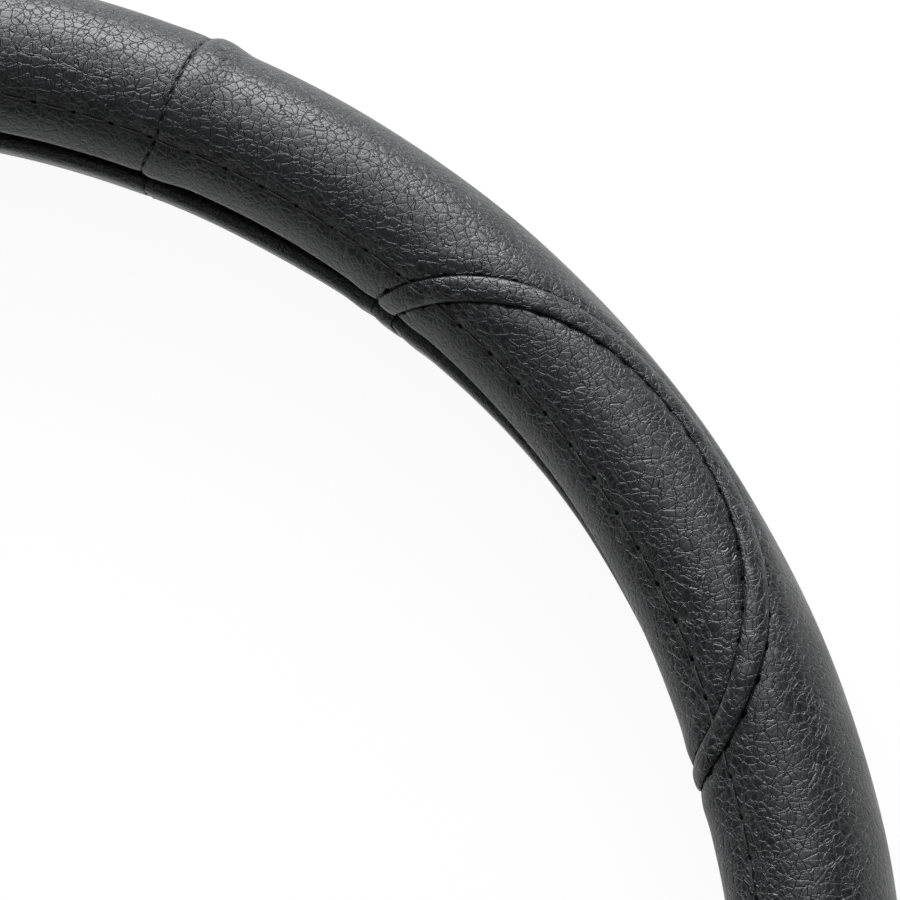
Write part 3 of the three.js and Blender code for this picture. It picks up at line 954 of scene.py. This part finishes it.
def sewn_marks(tree, holes):
    """The painted shade in the needle holes and the lines through them, and how deep they are in
    the leather.
    """
    painted_shades, depths = [], []
    for uv_map, middle, stretch, pitch, long, wide, groove in STITCH_ROWS:
        place = add_node(tree, "ShaderNodeUVMap", uv_map=uv_map).outputs[0]
        split = add_node(tree, "ShaderNodeSeparateXYZ", {0: place}).outputs
        beside = calc(tree, "SUBTRACT", calc(tree, "ABSOLUTE", split["Y"]), middle)
        row = add_node(
            tree, "ShaderNodeGroup", node_tree=holes,
            inputs={
                "Along": split["X"], "Across": calc(tree, "MULTIPLY", beside, stretch),
                "Pitch": pitch, "Length": long, "Width": wide, "Groove": groove,
            },
        ).outputs
        line = calc(tree, "MULTIPLY", row["Line"], SEWN_LINE_PAINTED_SHADE)
        painted_shades.append(calc(tree, "MAXIMUM", row["Hole"], line))
        depths.append(calc(tree, "MULTIPLY_ADD", row["Hole"], HOLE_SINK, row["Groove"]))
    return highest(tree, painted_shades), highest(tree, depths)


def leather_material(name, settings, grain, holes=None):
    """Grained leather with painted shade in its cracks and a painted highlight on their rims, and
    with the marks of its sewing, their depth and painted shade, where a group of needle holes is
    given.
    """
    material, tree, shader = new_material(name)
    skin = add_node(
        tree, "ShaderNodeGroup", node_tree=grain,
        inputs={
            "Place": object_place(tree),
            "Cell Size": settings.cell_size,
            "Depth": settings.grain_depth,
        },
    ).outputs
    rim_highlight = calc(tree, "MULTIPLY", skin["Rim Highlight"], RIM_PAINTED_HIGHLIGHT)
    crack = calc(tree, "MULTIPLY", skin["Crack"], CRACK_PAINTED_SHADE_STRENGTH)
    colour = blend(tree, skin["Cloud"], settings.leather_shade, settings.leather_colour)
    # Painted highlight on the cracks' rims, then painted shade in the cracks
    colour = blend(tree, rim_highlight, colour, settings.leather_painted_highlight)
    colour = blend(tree, crack, colour, CRACK_PAINTED_SHADE)
    smooth, dull = settings.roughness - 0.05, settings.roughness + 0.06
    rough = fade(tree, skin["Cloud"], 0.3, 0.7, smooth, dull)
    rough = calc(tree, "MULTIPLY_ADD", skin["Crack"], 0.02, rough)
    height = skin["Height"]
    if holes:
        painted_sewn_shade, deep = sewn_marks(tree, holes)
        # Painted shade in the needle holes and the stitch lines
        colour = blend(tree, painted_sewn_shade, colour, SEWN_PAINTED_SHADE)
        rough = calc(tree, "MULTIPLY_ADD", painted_sewn_shade, 0.4, rough)
        height = calc(tree, "SUBTRACT", height, deep)
    feed(tree, shader, {
        "Base Color": colour,
        "Roughness": rough,
        "Specular IOR Level": settings.leather_shine,
        "Specular Tint": SPECULAR_TINT,
    })
    emboss(tree, shader, height, MM)
    return material


def thread_material(settings):
    """Twisted sewing thread, with painted shade in the grooves between its twists."""
    material, tree, shader = new_material("black_thread")
    twist = add_node(
        tree, "ShaderNodeTexWave", wave_type="BANDS",
        inputs={"Vector": object_place(tree), "Scale": 900.0, "Distortion": 1.5, "Detail": 1.0},
    ).outputs["Fac"]
    # Painted shade: darker in the grooves between the twists, where the bump is low
    colour = blend(tree, twist, THREAD_TWIST_PAINTED_SHADE, settings.thread_colour)
    rough = fade(tree, twist, 0.0, 1.0, 0.75, 0.55)
    feed(tree, shader, {"Base Color": colour, "Roughness": rough})
    emboss(tree, shader, twist, 0.05 * MM, 0.6)
    return material


def hole_shade_material():
    """Painted shade for the inside of a needle hole."""
    material, tree, shader = new_material("needle_hole_shade")
    colour = (*HOLE_PAINTED_SHADE, 1)
    feed(tree, shader, {"Base Color": colour, "Roughness": 1.0, "Specular IOR Level": 0.05})
    return material


def rubber_material(settings):
    """Moulded rubber with a fine texture and a slightly cloudy surface."""
    material, tree, shader = new_material("moulded_rubber")
    place = object_place(tree)
    cloud = noise(tree, place, 40, 2)
    colour = blend(tree, cloud, RUBBER_SHADE, settings.rubber_colour)
    rough = fade(tree, cloud, 0.3, 0.7, 0.7, 0.85)
    feed(tree, shader, {"Base Color": colour, "Roughness": rough})
    emboss(tree, shader, noise(tree, place, 1400, 3), 0.1 * MM, 0.5)
    return material


def finishes():
    """Every material, made once."""
    settings = bpy.context.scene.cover_leather
    if "panel_leather" not in bpy.data.materials:
        grain = grain_group()
        leather_material("panel_leather", settings, grain, stitch_group())
        leather_material("piping_leather", settings, grain)
        thread_material(settings)
        hole_shade_material()
        rubber_material(settings)
    return bpy.data.materials


# Stage

FLOOR_GLOW = 0.94  # the share of the floor's face that shines evenly where a lens sees it
FLOOR_HALF = 6.0  # half its size
WORLD_STRENGTH = 0.16

# Each lamp: its place, what it aims at, its width and height, and its power in watts.
LAMPS = {
    "back": ((-0.03, 1.12, 0.39), (0.04, 0.17, 0.02), 1.15, 0.76, 32.0),
    "above": ((0.03, 0.72, 1.15), (0.04, 0.15, 0.0), 1.4, 1.0, 10.0),
    "fill": ((-0.1, -0.42, 1.15), (0.0, 0.14, 0.02), 0.9, 0.6, 0.8),
}

# The camera as fitted to the photo: its place, and its turn in degrees from looking straight down.
CAMERA_PLACE = (0.204554, -0.257632, 1.223818 + HALF_HEIGHT)
CAMERA_TURN = (16.425, 4.082, 0.581)
CAMERA_LENS = 300
CAMERA_SENSOR = 36


def make_floor():
    """A plain white floor just under the cover, which catches its shadow."""
    bm = bmesh.new()
    just_under = Matrix.Translation((0, 0, -FLOOR_GAP))
    bmesh.ops.create_grid(bm, x_segments=2, y_segments=2, size=FLOOR_HALF, matrix=just_under)
    floor = new_object(bm, "floor", floor_material())


def floor_material():
    """White that glows for the lens and for reflections, and is lit and shaded for the rest."""
    material, tree, shader = new_material("white_floor")
    colour = (0.9, 0.9, 0.9, 1)
    feed(tree, shader, {"Base Color": colour, "Roughness": 0.9, "Specular IOR Level": 0.0})
    glow = add_node(tree, "ShaderNodeEmission", {"Color": (1, 1, 1, 1), "Strength": 1.0})
    rays = add_node(tree, "ShaderNodeLightPath").outputs
    kinds = ("Is Camera Ray", "Is Glossy Ray", "Is Transmission Ray")
    share = calc(tree, "MULTIPLY", highest(tree, [rays[kind] for kind in kinds]), FLOOR_GLOW)
    ends = {0: share, 1: shader.outputs[0], 2: glow.outputs[0]}
    mix = add_node(tree, "ShaderNodeMixShader", ends)
    output = next(n for n in tree.nodes if n.type == "OUTPUT_MATERIAL")
    feed(tree, output, {"Surface": mix.outputs[0]})
    return material


def make_world(scene):
    """A dim white studio all round."""
    world = bpy.data.worlds.new("studio")
    scene.world = world
    world.use_nodes = True
    background = world.node_tree.nodes["Background"]
    feed(world.node_tree, background, {"Color": (1, 1, 1, 1), "Strength": WORLD_STRENGTH})


def make_lights(scene):
    """The broad lamps behind, above and in front of the cover."""
    for name, (place, aim, width, height, power) in LAMPS.items():
        lamp = bpy.data.lights.new(name, "AREA")
        lamp.shape = "RECTANGLE"
        lamp.size = width
        lamp.size_y = height
        lamp.energy = power
        holder = bpy.data.objects.new(name, lamp)
        heading = (Vector(aim) - Vector(place)).to_track_quat("-Z", "Y")
        holder.matrix_world = Matrix.Translation(place) @ heading.to_matrix().to_4x4()
        holder.visible_camera = False
        scene.collection.objects.link(holder)


def make_camera(scene):
    """The camera of the photo."""
    camera = bpy.data.cameras.new("camera")
    camera.lens = CAMERA_LENS
    camera.sensor_width = CAMERA_SENSOR
    camera.clip_end = 50
    holder = bpy.data.objects.new("camera", camera)
    turn = Euler([math.radians(degrees) for degrees in CAMERA_TURN]).to_matrix()
    holder.matrix_world = Matrix.Translation(CAMERA_PLACE) @ turn.to_4x4()
    scene.collection.objects.link(holder)
    scene.camera = holder


# Settings


class CoverLeather(bpy.types.PropertyGroup):
    """The looks of the leather, thread and rubber"""

    leather_shine: bpy.props.FloatProperty(
        name="Shine", description="Strength of the leather's reflections",
        default=0.42, min=0, max=1,
    )
    leather_colour: bpy.props.FloatVectorProperty(
        name="Leather", description="Main colour of the leather", subtype="COLOR",
        default=(0.0078, 0.008, 0.0086), min=0, max=1,
    )
    leather_shade: bpy.props.FloatVectorProperty(
        name="Leather shade", description="Darker colour that clouds the leather", subtype="COLOR",
        default=(0.0052, 0.0054, 0.0058), min=0, max=1,
    )
    # Painted highlight: a paler colour along the grain's cracks stands in for their lit edges
    leather_painted_highlight: bpy.props.FloatVectorProperty(
        name="Leather rim", description="Paler colour beside the grain's cracks", subtype="COLOR",
        default=(0.04, 0.041, 0.043), min=0, max=1,
    )
    thread_colour: bpy.props.FloatVectorProperty(
        name="Thread", description="Colour of the sewing thread", subtype="COLOR",
        default=(0.026, 0.026, 0.027), min=0, max=1,
    )
    rubber_colour: bpy.props.FloatVectorProperty(
        name="Rubber", description="Colour of the moulded ring", subtype="COLOR",
        default=(0.014, 0.014, 0.014), min=0, max=1,
    )
    cell_size: bpy.props.FloatProperty(
        name="Grain", description="Size of the grain's cells, in millimetres",
        default=1.75, min=0.5, max=8,
    )
    grain_depth: bpy.props.FloatProperty(
        name="Grain depth", description="Depth of the grain, as a share of the usual",
        default=1.0, min=0, max=3,
    )
    roughness: bpy.props.FloatProperty(
        name="Roughness", description="Roughness of the leather",
        default=0.34, min=0, max=1,
    )


class CoverSewing(bpy.types.PropertyGroup):
    """The sizes of the sewing and of the mesh"""

    piping_rise: bpy.props.FloatProperty(
        name="Piping", description="How far the piping stands over the leather",
        default=0.95 * MM, unit="LENGTH", subtype="DISTANCE",
    )
    thread_radius: bpy.props.FloatProperty(
        name="Thread", description="Half the thickness of the thread",
        default=0.2 * MM, unit="LENGTH", subtype="DISTANCE",
    )
    mesh_step: bpy.props.FloatProperty(
        name="Mesh", description="Usual distance between corners of the leather's mesh",
        default=1.25 * MM, unit="LENGTH", subtype="DISTANCE",
    )


# Operators


class COVER_OT_inner_ring(bpy.types.Operator):
    """Makes the moulded rubber ring that lines the leather"""

    bl_idname = "cover.inner_ring"
    bl_label = "Inner ring"

    def execute(self, context):
        face = -SKIN - LAYER_GAP
        front_step = angle_after(FRONT_RAW_EDGE, -LAYER_GAP)
        rear_step = angle_after(REAR_RAW_EDGE, LAYER_GAP)
        front, rear = angle_after(FRONT_FOLD, -LAYER_GAP), angle_after(REAR_FOLD, LAYER_GAP)
        outline = np.concatenate([
            oval_point(np.linspace(rear, front, 90), face)[0],
            oval_point(np.linspace(front, front_step, 12), face - RUBBER_EDGE)[0],
            oval_point(np.linspace(front_step, rear_step, 80), face - RUBBER)[0],
            oval_point(np.linspace(rear_step, rear, 12), face - RUBBER_EDGE)[0],
        ])
        angles = np.linspace(0, 2 * math.pi, RING_STEPS + 1)[:-1]
        rings = [on_ring(angle, outline) for angle in angles]
        rubber = finishes()["moulded_rubber"]
        tube("inner_ring_rubber", rings, "inner_ring", rubber, "rubber", closed=True)
        return {"FINISHED"}


class COVER_OT_panels(bpy.types.Operator):
    """Makes the four leather panels with their hems, seams and cut-outs"""

    bl_idname = "cover.panels"
    bl_label = "Leather panels"

    def execute(self, context):
        step = context.scene.cover_sewing.mesh_step
        leather = finishes()["panel_leather"]
        upper_right, upper_left, lower_left, lower_right = SEAMS.values()
        panels = {
            "right_panel": (lower_right - 2 * math.pi, upper_right, ("right_front", "right_rear")),
            "top_panel": (upper_right, upper_left, ()),
            "left_panel": (upper_left, lower_left, ("left_front", "left_rear")),
            "bottom_panel": (lower_left, lower_right, ()),
        }
        for name, (*span, arch_names) in panels.items():
            start, end = span
            columns = int((end - start) * TUBE_RADIUS / step)
            weight = partial(column_weight, start=start, end=end)
            angles = spread(columns, weight, start, end)
            reaches = spread(int(FACE.span / step * 0.95), row_weight, 0.0, FACE.span)
            relief = partial(panel_relief, span=span, is_side=bool(arch_names))
            leather_piece(name, angles, reaches, arch_names, False, relief, leather)
        return {"FINISHED"}


class COVER_OT_grips(bpy.types.Operator):
    """Makes the four grips inside the piping"""

    bl_idname = "cover.grips"
    bl_label = "Grips"

    def execute(self, context):
        step = context.scene.cover_sewing.mesh_step
        leather = finishes()["panel_leather"]
        for name, (_, facing) in GRIPS.items():
            low, high = ARCHES[name].angle.min(), ARCHES[name].angle.max()
            angles = np.linspace(low, high, int((high - low) * TUBE_RADIUS / step) + 1)
            ends = FACE.reach_of(facing * ARCH_PEAK), FACE.span if facing > 0 else 0.0
            bottom, top = sorted(ends)
            reaches = spread(int((top - bottom) / step), row_weight, bottom, top)
            leather_piece(name + "_grip", angles, reaches, (name,), True, grip_relief, leather)
        return {"FINISHED"}


class COVER_OT_piping(bpy.types.Operator):
    """Makes the padded piping round each grip"""

    bl_idname = "cover.piping"
    bl_label = "Piping"

    def execute(self, context):
        crown = context.scene.cover_sewing.piping_rise
        leather = finishes()["piping_leather"]
        for name, (_, facing) in GRIPS.items():
            profile = partial(piping_profile, facing=facing, crown=crown)
            rings = swept(ARCHES[name].sample(0.8 * MM), profile)
            piece = tube(name + "_piping_padded", rings, name + "_piping", leather, "piping")
        return {"FINISHED"}


class COVER_OT_threads(bpy.types.Operator):
    """Makes the thread along the hems and the cross seams, and the painted shade of the needle
    holes
    """

    bl_idname = "cover.threads"
    bl_label = "Thread"

    def execute(self, context):
        radius = context.scene.cover_sewing.thread_radius
        skin = outer_skin()
        for name, row in (("front", FRONT_ROW), ("rear", REAR_ROW)):
            sew_hem(name, row, radius, skin)
        for name, (_, facing) in GRIPS.items():
            sew_piping(name, facing, skin)
        for name, seam in SEAMS.items():
            sew_seam(name, seam, radius, skin)
        return {"FINISHED"}


class COVER_OT_stage(bpy.types.Operator):
    """Sets the floor, the lights, the world and the camera"""

    bl_idname = "cover.stage"
    bl_label = "Stage"

    def execute(self, context):
        scene = context.scene
        scene.view_settings.view_transform = "Standard"
        make_floor()
        make_world(scene)
        make_lights(scene)
        make_camera(scene)
        return {"FINISHED"}


class COVER_PT_panel(bpy.types.Panel):
    """Lists the steps that build the cover"""

    bl_idname = "COVER_PT_panel"
    bl_label = "Steering wheel cover"
    bl_space_type = "VIEW_3D"
    bl_region_type = "UI"
    bl_category = "Cover"

    def draw(self, context):
        layout = self.layout
        for group in (context.scene.cover_leather, context.scene.cover_sewing):
            for key in group.__annotations__:
                layout.prop(group, key)
        for step in STEPS:
            layout.operator(step.bl_idname)


STEPS = (
    COVER_OT_stage,
    COVER_OT_inner_ring,
    COVER_OT_panels,
    COVER_OT_grips,
    COVER_OT_piping,
    COVER_OT_threads,
)
CLASSES = (CoverLeather, CoverSewing, *STEPS, COVER_PT_panel)


def register():
    for cls in CLASSES:
        bpy.utils.register_class(cls)
    bpy.types.Scene.cover_leather = bpy.props.PointerProperty(type=CoverLeather)
    bpy.types.Scene.cover_sewing = bpy.props.PointerProperty(type=CoverSewing)


def unregister():
    del bpy.types.Scene.cover_sewing
    del bpy.types.Scene.cover_leather
    for cls in reversed(CLASSES):
        bpy.utils.unregister_class(cls)


def main():
    """Builds everything in order."""
    register()
    for step in STEPS:
        family, name = step.bl_idname.split(".")
        getattr(getattr(bpy.ops, family), name)()


if __name__ == "__main__":
    main()
